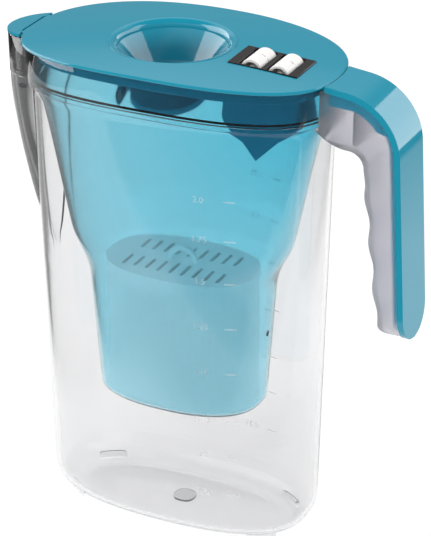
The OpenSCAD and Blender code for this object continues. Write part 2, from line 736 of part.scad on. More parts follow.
module cartridge_body() {
    color(white_col) difference() {
        union() {
            translate([0, 0, cart_low]) linear_extrude(cartridge_height)
                polygon(oval(cart_a, cart_b, 64));
            translate([0, 0, spigot_low]) linear_extrude(cart_low - spigot_low + 1)
                ellipse(spigot_a, spigot_b);
        }
        translate([0, 0, cart_low + cart_floor]) linear_extrude(cartridge_height)
            polygon(oval(cart_a - cartridge_wall, cart_b - cartridge_wall, 64));
        translate([0, 0, spigot_low - 1]) linear_extrude(cart_low - spigot_low + 1)
            ellipse(spigot_a - cartridge_wall, spigot_b - cartridge_wall);
        // Outlet slots through the floor
        for (i = [-4:4], s = [-1, 1])
            translate([i * cart_a * 0.15 - 1, s * cart_b * 0.21 - cart_b * 0.15, cart_low - 2])
                cube([2, cart_b * 0.3, cart_floor + 4]);
    }
}

module cartridge_cap() {
    rim_h = 4;
    plug = 3;
    loop_r = cart_a * 0.21;
    loop_t = 2.4;
    color(white_col) translate([0, 0, cart_top + seat_gap / 2]) {
        difference() {
            union() {
                linear_extrude(rim_h) polygon(oval(cart_a + 0.8, cart_b + 0.8, 64));
                translate([0, 0, -plug]) linear_extrude(plug + 1)
                    polygon(oval(cart_a - cartridge_wall - 0.2, cart_b - cartridge_wall - 0.2, 64));
            }
            translate([0, 0, -plug - 1]) linear_extrude(plug + 2.6)
                polygon(oval(cart_a - 3.4, cart_b - 3.4, 64));
            // Inlet slots
            for (i = [-4:4], s = [-1, 1])
                translate([i * cart_a * 0.163 - 1, s * cart_b * 0.42 - cart_b * 0.23, -plug - 2])
                    cube([2, cart_b * 0.46, plug + rim_h + 4]);
        }
        // Finger loop
        translate([0, loop_t / 2, rim_h - 0.4]) rotate([90, 0, 0]) difference() {
            cylinder(r = loop_r, h = loop_t);
            translate([0, 0, -1]) cylinder(r = loop_r - loop_t, h = loop_t + 2);
            translate([-2 * loop_r, -4 * loop_r, -1]) cube([4 * loop_r, 4 * loop_r, loop_t + 2]);
        }
    }
}

module cartridge_seal() {
    color("gray") translate([0, 0, well_low_z + 0.2]) linear_extrude(hopper_wall - 0.2)
        difference() {
            ellipse(outlet_length / 2 - seal_gap, outlet_width / 2 - seal_gap);
            ellipse(spigot_a + 0.02, spigot_b + 0.02);
        }
}

module screen(z) {
    translate([0, 0, z]) linear_extrude(screen_t)
        polygon(oval(cart_a - cartridge_wall - 0.2, cart_b - cartridge_wall - 0.2, 64));
}

granules_low = cart_low + cart_floor + 0.1 + screen_t + 0.1;
granules_top = cart_top - 3 - 0.2 - screen_t - 0.1;
module lower_screen() { color("white") screen(cart_low + cart_floor + 0.1); }
module upper_screen() { color("white") screen(granules_top + 0.1); }
module filter_granules() {
    color(dark_col) translate([0, 0, granules_low]) linear_extrude(granules_top - granules_low)
        polygon(oval(cart_a - cartridge_wall - 0.3, cart_b - cartridge_wall - 0.3, 64));
}

jug();
handle_grip();
handle_cover();
hopper();
lid();
filling_flap();
flap_pin();
spout_cap();
spout_pin();
calendar_frame();
calendar_housing();
month_wheel();
day_wheel();
wheel_axles();
cartridge_body();
cartridge_cap();
cartridge_seal();
filter_granules();
upper_screen();
lower_screen();
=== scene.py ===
# %% [markdown]
# This lesson dresses a water filter pitcher: a clear oval jug, a blue hopper that hangs
# in it, a teal lid with a filling funnel, and a handle that is half clear and half teal.
# The solids come from the engineering model, so they are loaded first. Each piece that is
# made here follows the solid that it stands for. Only the funnel's cone is shorter and the
# foot flatter, because the real ones are.

# %% The engineering model
import math
import bpy
import bmesh
import numpy as np
from mathutils import Matrix, Vector


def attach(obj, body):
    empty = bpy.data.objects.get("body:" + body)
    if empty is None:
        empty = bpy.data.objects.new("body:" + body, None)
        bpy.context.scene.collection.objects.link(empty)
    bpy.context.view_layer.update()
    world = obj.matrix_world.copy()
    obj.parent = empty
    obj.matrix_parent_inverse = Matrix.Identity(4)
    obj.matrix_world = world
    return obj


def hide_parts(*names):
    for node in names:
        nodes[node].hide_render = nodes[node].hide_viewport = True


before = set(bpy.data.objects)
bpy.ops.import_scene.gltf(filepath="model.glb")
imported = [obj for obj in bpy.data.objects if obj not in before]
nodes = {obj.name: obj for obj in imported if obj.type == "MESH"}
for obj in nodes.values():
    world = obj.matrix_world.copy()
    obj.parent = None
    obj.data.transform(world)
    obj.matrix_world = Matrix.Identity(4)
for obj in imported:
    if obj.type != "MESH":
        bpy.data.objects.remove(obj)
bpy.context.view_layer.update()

# %% [markdown]
# The pitcher is drawn in millimetres and turned into metres at the last step. Every
# outline is one plan curve, a superellipse, so the jug, the hopper and the lid share it.
# The rim and the lid are arched along the pitcher, which `sag` gives.

# %% Sizes of the pitcher
MM = 0.001
END, SIDE = 2.36, 2.45
FOOT_A, FOOT_B, NECK_A, NECK_B = 78.5, 40.6, 84.0, 50.2
STEP, LEDGE_Z, RIM_Z, WALL = 2.7, 258.0, 278.2, 2.4
RIM_A, RIM_B = NECK_A + STEP, NECK_B + STEP
LID_A, LID_B, PLATE, LID_TOP = RIM_A + 2.5, RIM_B + 2.5, 1.6, 280.0
ARCH_R = (LID_A ** 2 + 4.3 ** 2) / (2 * 4.3)
CORNER, FOOT = 17.4, 0.8


def sag(x):
    return ARCH_R - np.sqrt(ARCH_R ** 2 - np.asarray(x, float) ** 2)


def ease(k):
    k = np.clip(k, 0, 1)
    return k * k * (3 - 2 * k)


def reach(y, a, b):
    return a * np.maximum(0, 1 - (np.abs(y) / b) ** SIDE) ** (1 / END)


def power(v, e):
    return np.sign(v) * np.abs(v) ** e


def oval(a, b, count=240):
    t = np.arange(count) * 2 * math.pi / count
    return np.stack([a * power(np.cos(t), 2 / END), b * power(np.sin(t), 2 / SIDE)], 1)


def body_a(z):
    return FOOT_A + (NECK_A - FOOT_A) * z / LEDGE_Z


def body_b(z):
    return FOOT_B + (NECK_B - FOOT_B) * z / LEDGE_Z


print("lid", 2 * LID_A, "by", 2 * LID_B, "mm, arch", round(float(sag(LID_A)), 2), "mm")

# %% [markdown]
# Most of the pitcher is moulded, so its pieces are lofts: rings of equal count, skinned
# one to the next. A modelling tool could sculpt them, but rings from the same formulas
# keep both sides of a wall parallel, which clear plastic shows at once.

# %% From rings to a piece
def make_piece(name, points, faces, finish, body, replaced=(), slot=None, sharp=35):
    mesh = bpy.data.meshes.new(name)
    mesh.from_pydata([tuple(p) for p in np.asarray(points, float) * MM], [], faces)
    mesh.validate()
    tool = bmesh.new()
    tool.from_mesh(mesh)
    bmesh.ops.recalc_face_normals(tool, faces=tool.faces)
    tool.to_mesh(mesh)
    tool.free()
    mesh.shade_smooth()
    mesh.set_sharp_from_angle(angle=math.radians(sharp))
    piece = bpy.data.objects.new(name, mesh)
    bpy.context.scene.collection.objects.link(piece)
    piece.data.materials.append(finish)
    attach(piece, body)
    if replaced:
        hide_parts(*replaced)
    print(name, len(mesh.vertices), "points")
    return piece


def skin(rings, looped=False, ends=True):
    count, levels = len(rings[0]), len(rings)
    i = np.arange(count)
    k = (i + 1) % count
    faces = []
    for j in range(levels if looped else levels - 1):
        l = (j + 1) % levels
        faces += np.stack([j * count + i, l * count + i, l * count + k, j * count + k], 1).tolist()
    if ends and not looped:
        faces += [list(range(count)), list(range((levels - 1) * count, levels * count))[::-1]]
    return np.concatenate(rings), faces


def together(*parts):
    points, faces, base = [], [], 0
    for p, f in parts:
        points.append(np.asarray(p, float))
        faces += [[v + base for v in face] for face in f]
        base += len(p)
    return np.concatenate(points), faces


def lifted(plan, z, arch=0.0):
    z = np.full(len(plan), float(z)) - arch * sag(plan[:, 0])
    return np.column_stack([plan, z])


# %% [markdown]
# Shader maths reads better as Python. One small class wraps a socket, so that masks can be
# added and multiplied, and one method adds any other node. Every finish below starts
# from Blender's Principled shader.

# %% Shader sockets as numbers
class Wire:
    def __init__(self, tree, socket):
        self.tree, self.socket = tree, socket

    def maths(self, operation, first, second):
        node = self.tree.nodes.new("ShaderNodeMath")
        node.operation = operation
        for entry, value in zip(node.inputs, (first, second)):
            if isinstance(value, Wire):
                self.tree.links.new(value.socket, entry)
            else:
                entry.default_value = value
        return Wire(self.tree, node.outputs[0])

    def __add__(self, other):
        return self.maths("ADD", self, other)

    def __sub__(self, other):
        return self.maths("SUBTRACT", self, other)

    def __rsub__(self, other):
        return self.maths("SUBTRACT", other, self)

    def __mul__(self, other):
        return self.maths("MULTIPLY", self, other)

    def __gt__(self, other):
        return self.maths("GREATER_THAN", self, other)

    def __lt__(self, other):
        return self.maths("LESS_THAN", self, other)

    __radd__, __rmul__ = __add__, __mul__


class Nodes:
    def __init__(self, tree):
        self.tree = tree

    def fill(self, entry, value):
        if isinstance(value, Wire):
            self.tree.links.new(value.socket, entry)
        elif isinstance(value, tuple) and entry.type == "RGBA":
            entry.default_value = (*value, 1)
        else:
            entry.default_value = value

    def add(self, kind, settings=None, sockets=None, out=0):
        node = self.tree.nodes.new(kind)
        for key, value in (settings or {}).items():
            setattr(node, key, value)
        for key, value in (sockets or {}).items():
            self.fill(node.inputs[key], value)
        return Wire(self.tree, node.outputs[out])

    def blend(self, factor, first, second):
        return self.add("ShaderNodeMix", {"data_type": "RGBA"}, {0: factor, 6: first, 7: second}, 2)

    def ray(self, kind):
        return self.add("ShaderNodeLightPath", out=f"Is {kind} Ray")

    def soft(self, value, low, high, start=0.0, end=1.0):
        """Start below low, end above high, and even in between."""
        limits = {"From Min": low, "From Max": high, "To Min": start, "To Max": end}
        return self.add("ShaderNodeMapRange", {}, {"Value": value, **limits})

    def axis(self, vector, name):
        return self.add("ShaderNodeSeparateXYZ", {}, {"Vector": vector}, name)


class Finish(Nodes):
    def __init__(self, name, **fixed):
        self.material = bpy.data.materials.new(name)
        self.material.use_nodes = True
        super().__init__(self.material.node_tree)
        self.shader = self.tree.nodes["Principled BSDF"]
        for socket, value in fixed.items():
            self.put(socket.replace("_", " "), value)

    def put(self, socket, value):
        self.fill(self.shader.inputs[socket], value)

    def place(self):
        return self.add("ShaderNodeTexCoord", out="Object")

    def grain(self, scale, detail=3.0, stretch=(1, 1, 1)):
        where = self.add("ShaderNodeMapping", {}, {"Vector": self.place(), "Scale": stretch})
        sockets = {"Vector": where, "Scale": scale, "Detail": detail}
        return self.add("ShaderNodeTexNoise", {}, sockets)

    def relief(self, height, strength, distance=0.0002, below=None):
        sockets = {"Height": height, "Strength": strength, "Distance": distance}
        if below:
            sockets["Normal"] = below
        self.put("Normal", self.add("ShaderNodeBump", {}, sockets, "Normal"))

    def over(self, factor, shader):
        """Mix another shader over the finish by a factor."""
        out = self.tree.nodes["Material Output"].inputs["Surface"]
        below = Wire(self.tree, self.shader.outputs[0])
        self.fill(out, self.add("ShaderNodeMixShader", {}, {0: factor, 1: below, 2: shader}))


print("shader helpers ready")

# %% [markdown]
# Clear plastic is two parallel skins with light bent between them. Both walls are
# modelled, so the shader only needs a refractive index and a polish that varies a little,
# as flow marks do. Shadow rays pass straight through, so that light reaches what is inside.
# The hopper's blue is painted lighter to the lower left, as painted light, and deeper towards
# the handle above its well, as painted shade. The teal plastic is solid; in the lid's funnel
# its colour is painted darker with depth, as painted shade, and a bump turns the cone's
# shine upwards.

# %% Clear and tinted plastics
# Where the hopper's painted light gives way to painted shade, along it and up it, in metres.
PAINTED_SHADE_ALONG, PAINTED_SHADE_UP = (-0.05, 0.06), (0.13, 0.24)
FUNNEL_X, CONE_R, CONE_TOP, CONE_PAINTED_SHADE = -5.6, 31.0, 275.7, (0.266, 0.2745, 0.55, 0)


def see_through(finish, tint):
    """Shadow rays pass straight through with a tint, so what is inside stays lit."""
    finish.over(finish.ray("Shadow"), finish.add("ShaderNodeBsdfTransparent", {}, {"Color": tint}))


def clear_plastic(name, low, high, polish, tint, across=False):
    """The colour drifts from low to high with the flow, or along and up the pitcher as painted
    light and shade.
    """
    f = Finish(name, Transmission_Weight=1.0, IOR=1.47)
    flow = f.grain(26.0, 2.0, (1, 1, 0.25))
    share = flow
    if across:
        x, z = f.axis(f.place(), "X"), f.axis(f.place(), "Z")
        # Painted light and shade: lighter blue to the lower left, deeper blue towards the handle
        # above the well.
        share = f.soft(x, *PAINTED_SHADE_ALONG) * f.soft(z, *PAINTED_SHADE_UP)
    f.put("Base Color", f.blend(share, low, high))
    f.put("Roughness", polish[0] + flow * (polish[1] - polish[0]))
    f.relief(flow, 0.2, 0.0003)
    see_through(f, tint)
    return f.material


def teal_plastic(name, deep, light, roughness, is_lid=False):
    """The lid is also very slightly domed across, which only its shine shows."""
    f = Finish(name, IOR=1.5)
    cloud = f.grain(14.0, 3.0)
    fine = f.grain(1500.0, 2.0)
    colour = f.blend(cloud, deep, light)
    f.put("Roughness", roughness + cloud * 0.05)
    dome = None
    if is_lid:
        x, y, z = (f.axis(f.place(), letter) for letter in "XYZ")
        x = x - FUNNEL_X * MM
        cone = (x * x + y * y < (CONE_R * MM) ** 2) * (z < CONE_TOP * MM)
        height = y * y * -0.5 + cone * (CONE_TOP * MM - z) * 0.3
        sockets = {"Height": height, "Strength": 1.0, "Distance": 1.0}
        dome = f.add("ShaderNodeBump", {}, sockets, "Normal")
        # Painted shade: the funnel's cone is coloured darker with depth, where little light reaches
        # into it.
        colour = f.blend(cone * f.soft(z, *CONE_PAINTED_SHADE), colour, (0.002, 0.05, 0.09))
    f.put("Base Color", colour)
    f.relief(fine * 0.4 + cloud * 0.6, 0.10, 0.0001, dome)
    return f.material


CLEAR = clear_plastic("clear_plastic", (0.86, 0.86, 0.865), (0.89, 0.89, 0.895), (0.01, 0.03),
                      (0.94, 0.94, 0.95))
# The hopper's pale blue is painted light and its deep blue is painted shade, set along and up it.
BLUE = clear_plastic("blue_tinted_plastic", (0.55, 0.885, 0.975), (0.31, 0.82, 0.95), (0.05, 0.09),
                     (0.97, 0.99, 1.0), across=True)
FROST = clear_plastic("frosted_plastic", (0.84, 0.83, 0.87), (0.88, 0.87, 0.91), (0.36, 0.44),
                      (0.9, 0.9, 0.92))
TEAL_LOOK = ((0.009, 0.255, 0.365), (0.011, 0.270, 0.385), 0.05)
TEAL = teal_plastic("teal_plastic", *TEAL_LOOK)
LID_TEAL = teal_plastic("lid_teal_plastic", *TEAL_LOOK, is_lid=True)
print("plastics:", CLEAR.name, BLUE.name, FROST.name, TEAL.name)

# %% [markdown]
# The small parts have plain finishes of their own: a glossy black frame with fine
# scratches, matt paper-white wheels, drawn steel pins, grey rubber and dark grains.

# %% Finishes of the small parts
def plain_finish(name, low, high, roughness, scale, bump=0.1, metallic=0.0, shine=0.5):
    f = Finish(name, Metallic=metallic, Specular_IOR_Level=shine)
    grain = f.grain(scale, 4.0)
    f.put("Base Color", f.blend(grain, low, high))
    f.put("Roughness", roughness + grain * 0.1)
    f.relief(grain, bump, 0.0002)
    return f.material


BLACK = plain_finish("black_gloss_plastic", (0.007, 0.006, 0.006), (0.011, 0.009, 0.009), 0.16, 600,
                     shine=0.3)
WHITE = plain_finish("wheel_white_plastic", (0.78, 0.76, 0.74), (0.86, 0.84, 0.83), 0.5, 900)
INK = plain_finish("printed_ink", (0.10, 0.10, 0.11), (0.16, 0.16, 0.17), 0.6, 1500)
STEEL = plain_finish("drawn_steel", (0.50, 0.50, 0.51), (0.62, 0.62, 0.63), 0.25, 900, 0.05, 1.0)
RUBBER = plain_finish("grey_seal_rubber", (0.30, 0.33, 0.34), (0.36, 0.39, 0.40), 0.7, 700)
GRAINS = plain_finish("filter_grains", (0.70, 0.70, 0.68), (0.90, 0.90, 0.88), 0.8, 1400, 1.0)
MESH_CLOTH = plain_finish("fine_screen_cloth", (0.80, 0.81, 0.81), (0.90, 0.91, 0.91), 0.8, 2600,
                          0.6)
MILKY = plain_finish("milky_cartridge_plastic", (0.92, 0.92, 0.92), (0.95, 0.95, 0.95), 0.35, 60)
# Painted shade: this dark colour on the vent's flat ring stands in for the shade inside its bore.
PAINTED_BORE_SHADE = plain_finish("shaded_bore", (0.0, 0.03, 0.05), (0.0, 0.04, 0.06), 0.5, 900)
for node_name, finish in {
    "filling_flap": TEAL, "calendar_housing": TEAL, "flap_pin": STEEL,
    "spout_pin": STEEL, "wheel_axles": STEEL, "cartridge_body": MILKY, "cartridge_cap": MILKY,
    "cartridge_seal": RUBBER, "filter_granules": GRAINS, "upper_screen": MESH_CLOTH,
    "lower_screen": MESH_CLOTH,
}.items():
    mesh = nodes[node_name].data
    mesh.materials.clear()
    mesh.materials.append(finish)
    mesh.shade_smooth()
    mesh.set_sharp_from_angle(angle=math.radians(30))
print("small finishes set")

# %% [markdown]
# The jug is one moulding with a spout that swells out of its end and a band at the rim
# that steps out over a ledge. One loft goes up the outside, over the rim and down the
# inside, with close rings at the ledge, where the light bends most.

# %% The jug
SPOUT_HALF, SPOUT_LOW, SPOUT_RISE, SPOUT_REACH = 19.0, 148.0, 102.0, 18.6


def spout_tip(z):
    k = np.clip((z - SPOUT_LOW) / SPOUT_RISE, 0, 1)
    return body_a(z) + SPOUT_REACH * math.sin(k * math.pi / 2) ** 1.1


def spout_width(z):
    k = np.clip((z - SPOUT_LOW) / SPOUT_RISE, 0, 1)
    return max(4.0, SPOUT_HALF * k ** 0.35)


def jug_ring(z, step, inset, arch):
    a, b = body_a(z) + step - inset, body_b(z) + step - inset
    w = max(2.0, spout_width(z) - inset)
    s = max(0.0, spout_tip(z) - inset - a)
    start = math.pi - math.asin((w / b) ** (SIDE / 2))
    t = start * (2 * np.arange(201) / 200 - 1)
    around = np.stack([a * power(np.cos(t), 2 / END), b * power(np.sin(t), 2 / SIDE)], 1)
    phi = math.pi / 2 - math.pi * np.arange(1, 48) / 48
    y = w * np.sin(phi)
    spout = np.stack([-reach(y, a, b) - s * np.cos(phi), y], 1)
    return lifted(np.concatenate([around, spout]), z, arch)


def corner_ring(q, r):
    q = math.radians(q)
    return jug_ring(FOOT + CORNER - r * math.cos(q), 0, CORNER - r * math.sin(q), 0)


def arch_share(z):
    return float(ease((z - LEDGE_Z + 40) / 36))


heights = list(np.linspace(0.12, 0.97, 36) * LEDGE_Z)
step_profile = [(-3.2, 0.0), (-2.95, 0.06), (-2.69, 0.2), (-2.35, 0.54), (-1.98, 0.88),
                (-1.65, 0.97), (-1.28, 1.0)]
jug_rings = [jug_ring(FOOT, 0, CORNER + 9, 0), jug_ring(FOOT, 0, CORNER + 3, 0)]
jug_rings += [corner_ring(q, CORNER) for q in range(0, 91, 6)]
jug_rings += [jug_ring(z, 0, 0, arch_share(z)) for z in heights if z < LEDGE_Z - 4]
jug_rings += [jug_ring(LEDGE_Z + dz, STEP * k, 0, 1) for dz, k in step_profile]
jug_rings += [jug_ring(RIM_Z - 0.8, STEP, 0, 1), jug_ring(RIM_Z - 0.3, STEP, 0.15, 1),
              jug_ring(RIM_Z, STEP, 0.6, 1)]
jug_rings += [jug_ring(RIM_Z, STEP, WALL - 0.5, 1), jug_ring(RIM_Z - 0.4, STEP, WALL, 1),
              jug_ring(LEDGE_Z + 0.4, STEP, WALL, 1), jug_ring(LEDGE_Z, STEP - 0.3, WALL, 1),
              jug_ring(LEDGE_Z - 0.05, 0.4, WALL, 1), jug_ring(LEDGE_Z - 0.6, 0, WALL, 1)]
jug_rings += [jug_ring(z, 0, WALL, arch_share(z)) for z in heights[::-1] if z < LEDGE_Z - 1]
jug_rings += [corner_ring(q, CORNER - WALL) for q in range(90, 29, -6)]
jug_rings += [jug_ring(FOOT + 2.6, 0, CORNER - 2, 0)]


def foot_arcs():
    """Four short arcs under the rounded corner, and the round pad where the plastic entered."""
    parts = []
    inset, thick, high = CORNER * 0.42, CORNER * 0.14, FOOT + CORNER * 0.24
    for sx in (1, -1):
        for sy in (1, -1):
            y = np.linspace(0.42, 0.62, 24) * FOOT_B
            x = reach(y, FOOT_A - inset, FOOT_B - inset)
            outer = np.stack([sx * x, sy * y], 1)
            inner = np.stack([sx * (x - thick), sy * y], 1)
            outline = np.concatenate([outer, inner[::-1]])
            parts.append(skin([lifted(outline, 0), lifted(outline, high)]))
    circle = oval(6.25, 6.25, 48)
    parts.append(skin([lifted(circle, 0.2), lifted(circle, 2.4)]))
    return parts


make_piece("clear_jug", *together(skin(jug_rings), *foot_arcs()), CLEAR, "jug_body", ["jug"],
           "clear_body")

# %% [markdown]
# The hopper hangs by its collar on the ledge. It narrows to a well, whose floor is open in
# an oval where the cartridge sits. The loft is closed on itself, through that opening.

# %% The hopper
COLLAR_A, COLLAR_B = RIM_A - WALL - 0.4, RIM_B - WALL - 0.4
SHELF_Z, THIN, WELL_LOW, WELL_Z, RES_Z, WELL_CORNER = LEDGE_Z + 0.2, 1.8, 73.0, 146.0, 171.0, 4.0
HALF_LENGTHS = (NECK_A - WALL - 0.8, 62.7, 52.5, 47.6)
HALF_WIDTHS = (NECK_B - WALL - 0.8, 41.0, 36.0, 31.0)
VENT_Z, VENT_R = 119.0, 1.7


def hopper_half(z, top, shoulder, well, foot):
    upper = shoulder + (top - shoulder) * (z - RES_Z) / (LEDGE_Z - RES_Z)
    lower = foot + (well - foot) * (z - WELL_LOW) / (WELL_Z - WELL_LOW)
    return lower + (upper - lower) * float(ease((z - WELL_Z + 2) / (RES_Z - WELL_Z + 4)))


def hopper_ring(z, inset, arch=0.0):
    a, b = hopper_half(z, *HALF_LENGTHS) - inset, hopper_half(z, *HALF_WIDTHS) - inset
    return lifted(oval(a, b), z, arch)


def collar_ring(z, inset):
    return lifted(oval(COLLAR_A - inset, COLLAR_B - inset), z, 1)


def outlet_ring(z):
    t = np.arange(240) * 2 * math.pi / 240
    return lifted(np.stack([40 * np.cos(t), 19.7 * np.sin(t)], 1), z)


def well_corner(q, inner):
    q, r = math.radians(q), WELL_CORNER - (THIN if inner else 0)
    return hopper_ring(WELL_LOW + WELL_CORNER - r * math.cos(q), WELL_CORNER - r * math.sin(q))


levels = list(np.linspace(WELL_LOW + 10, LEDGE_Z - 6, 40))
rings = [outlet_ring(WELL_LOW)] + [well_corner(q, False) for q in range(5, 91, 10)]
rings += [hopper_ring(z, 0, arch_share(z)) for z in levels]
rings += [hopper_ring(SHELF_Z - 1.4, 0, 1), hopper_ring(SHELF_Z, -0.2, 1)]
rings += [collar_ring(SHELF_Z, 0.2), collar_ring(SHELF_Z + 0.6, 0), collar_ring(RIM_Z - 0.6, 0),
          collar_ring(RIM_Z - 0.1, 0.5)]
rings += [collar_ring(RIM_Z - 0.1, THIN - 0.4), collar_ring(RIM_Z - 0.6, THIN),
          collar_ring(SHELF_Z + THIN + 0.4, THIN), hopper_ring(SHELF_Z + 0.2, THIN, 1)]
rings += [hopper_ring(z, THIN, arch_share(z)) for z in levels[::-1]]
rings += [well_corner(q, True) for q in range(90, 4, -10)] + [outlet_ring(WELL_LOW + THIN)]
make_piece("blue_hopper", *skin(rings, looped=True), BLUE, "hopper_body", ["hopper"],
           "hopper_blue")

# %% [markdown]
# The vent is a small hole near the handle end of the well. A flat dark ring on the wall is
# painted shade for its bore, because a drilled bore this small would be lost in the loft.

# %% The vent
def disc(centre, axis_x, axis_y, inner, outer, count=32):
    t = np.arange(count) * 2 * math.pi / count
    c, u, v = (np.asarray(p, float) for p in (centre, axis_x, axis_y))
    rim = [c + r * (np.outer(np.cos(t), u) + np.outer(np.sin(t), v)) for r in (inner, outer)]
    i = np.arange(count)
    k = (i + 1) % count
    return np.concatenate(rim), np.stack([i, count + i, count + k, k], 1).tolist()


vent_at = (hopper_half(VENT_Z, *HALF_LENGTHS) + 0.05, 0, VENT_Z)
make_piece("well_vent", *disc(vent_at, (0, 1, 0), (0, 0, 1), 0.05, VENT_R), PAINTED_BORE_SHADE, "hopper_body",
           (), "teal_dark")

# %% [markdown]
# The lid is a thin arched plate with a rolled funnel in it, a skirt that drops inside the
# hopper's collar and a rectangular window for the calendar. The plate is a loft that closes
# towards its middle, and booleans cut the window and the funnel's mouth.

# %% The lid
RIM_R, THROAT_R, CONE_DEEP, FUNNEL_DEEP, ROLL, DROP = 34.0, 20.5, 20.5, 27.0, 4.5, 4.3
CALENDAR_X, CALENDAR_Y = 53.0, -3.0
EAR_Y, EAR_HALF, EAR_R, FLAP_BORE = 10.5, 1.3, 2.2, 1.26
KNUCKLE_HALF, KNUCKLE_R, CAP_BORE = 11.6, 1.65, 0.91
TILT = math.asin(CALENDAR_X / ARCH_R)


def plate_rings():
    outer = [(0.25, -PLATE), (0.0, -PLATE + 0.4), (0.0, -0.7), (0.2, -0.2), (0.6, 0.0)]
    edge = [lifted(oval(LID_A - i, LID_B - i), LID_TOP + z, 1) for i, z in outer]
    shrink = np.linspace(0.985, 0.01, 30)
    top = [lifted(oval(LID_A * k, LID_B * k), LID_TOP, 1) for k in shrink]
    under = [lifted(oval(LID_A * k, LID_B * k), LID_TOP - PLATE, 1) for k in shrink[::-1]]
    return under + edge + top


def revolved(profile, centre, count=160):
    t = np.arange(count) * 2 * math.pi / count
    return [np.stack([centre[0] + r * np.cos(t), centre[1] + r * np.sin(t),
                      np.full(count, centre[2] + z)], 1) for r, z in profile]


def funnel_profile():
    """A rolled rim, a cone, and a straight neck that the flap closes."""
    q, neck = np.radians(np.arange(0, 91, 6)), -CONE_DEEP
    inside = [(RIM_R - ROLL * math.sin(a), -DROP * (1 - math.cos(a))) for a in q]
    back = [(RIM_R - (ROLL - 2) * math.sin(a),
             -DROP * (1 - math.cos(a)) - PLATE * math.cos(a)) for a in q[::-1]]
    throat = [(THROAT_R + 0.8, neck + 1.4), (THROAT_R + 0.1, neck - 0.4), (THROAT_R, -FUNNEL_DEEP),
              (THROAT_R + 2, -FUNNEL_DEEP), (THROAT_R + 2.1, neck - 1)]
    return inside + throat + back


def scratch_object(name, points, faces):
    mesh = bpy.data.meshes.new(name)
    mesh.from_pydata([tuple(p) for p in np.asarray(points) * MM], [], faces)
    tool = bmesh.new()
    tool.from_mesh(mesh)
    bmesh.ops.recalc_face_normals(tool, faces=tool.faces)
    tool.to_mesh(mesh)
    tool.free()
    thing = bpy.data.objects.new(name, mesh)
    bpy.context.scene.collection.objects.link(thing)
    return thing


def combined(base, others):
    """The mesh of base after boolean steps with others, as points and faces in mm."""
    for thing, how in others:
        step = base.modifiers.new("step", "BOOLEAN")
        step.object, step.operation, step.solver = thing, how, "EXACT"
    bpy.context.view_layer.update()
    mesh = base.evaluated_get(bpy.context.evaluated_depsgraph_get()).to_mesh()
    points = np.array([v.co[:] for v in mesh.vertices]) / MM
    faces = [list(p.vertices) for p in mesh.polygons]
    for thing in [base] + [t for t, _ in others]:
        bpy.data.objects.remove(thing)
    return points, faces


def block(low, high, matrix=None):
    plan = ((low[0], low[1]), (high[0], low[1]), (high[0], high[1]), (low[0], high[1]))
    corners = np.array([[x, y, z] for z in (low[2], high[2]) for x, y in plan])
    faces = [[0, 3, 2, 1], [4, 5, 6, 7], [0, 1, 5, 4], [1, 2, 6, 5], [2, 3, 7, 6], [3, 0, 4, 7]]
    if matrix is not None:
        corners = np.array([(matrix @ Vector(c))[:] for c in corners])
    return corners, faces


calendar_at = (CALENDAR_X, CALENDAR_Y, LID_TOP - float(sag(CALENDAR_X)) + 0.5)
calendar_place = Matrix.Translation(calendar_at) @ Matrix.Rotation(TILT, 4, "Y")
FRAME_L, FRAME_W, FRAME_T = 39.0, 25.4, 2.3
plate = scratch_object("plate", *skin(plate_rings()))
mouth_profile = [(RIM_R - 0.2, -12), (RIM_R - 0.2, 12)]
mouth = scratch_object("mouth", *skin(revolved(mouth_profile, (FUNNEL_X, 0, LID_TOP))))
window = scratch_object("window", *block((-FRAME_L / 2 - 0.2, -FRAME_W / 2 - 0.2, -5),
                                         (FRAME_L / 2 + 0.2, FRAME_W / 2 + 0.2, 5), calendar_place))
cut_plate = combined(plate, [(mouth, "DIFFERENCE"), (window, "DIFFERENCE")])
funnel_at = (FUNNEL_X, 0, LID_TOP - float(sag(FUNNEL_X)))
funnel = skin(revolved(funnel_profile(), funnel_at), looped=True)
SKIRT_A, SKIRT_B = COLLAR_A - THIN - 0.5, COLLAR_B - THIN - 0.5
skirt_profile = [(0, -1.4), (0, -8.9), (0.3, -9.2), (1.3, -9.2), (1.6, -8.9), (1.6, -1.4)]
skirt = skin([lifted(oval(SKIRT_A - i, SKIRT_B - i), LID_TOP + z, 1) for i, z in skirt_profile],
             looped=True)
CAP_X = 0.7 - LID_A
CAP_Z = LID_TOP - float(sag(CAP_X)) - 1.7
FLAP_X, FLAP_Z = FUNNEL_X - THROAT_R - 4.7, LID_TOP - FUNNEL_DEEP - 1.9


def rod(x, z, y0, y1, r, hole=0.0, count=48):
    t = np.arange(count) * 2 * math.pi / count
    ring = lambda y, rad: np.stack([x + rad * np.cos(t), np.full(count, y), z + rad * np.sin(t)], 1)
    if hole:
        return skin([ring(y0, hole), ring(y0, r), ring(y1, r), ring(y1, hole)], looped=True)
    return skin([ring(y0, r), ring(y1, r)])


knuckle = rod(CAP_X, CAP_Z, -KNUCKLE_HALF, KNUCKLE_HALF, KNUCKLE_R, CAP_BORE)
ears = []
for y0 in (-EAR_Y - EAR_HALF, EAR_Y - EAR_HALF):
    y1 = y0 + 2 * EAR_HALF
    ears += [rod(FLAP_X, FLAP_Z, y0, y1, EAR_R, FLAP_BORE),
             block((FLAP_X - EAR_R, y0, FLAP_Z + 2.1), (FLAP_X + 6.9, y1, FLAP_Z + 9))]
make_piece("teal_lid", *together(cut_plate, funnel, skirt, knuckle, *ears), LID_TEAL,
           "lid_body", ["lid"], "teal")

# %% [markdown]
# The spout cap is a crescent that continues the lid's arch over the spout. It is a strip of
# quads between the spout's front curve and an arc that follows the lid's end.

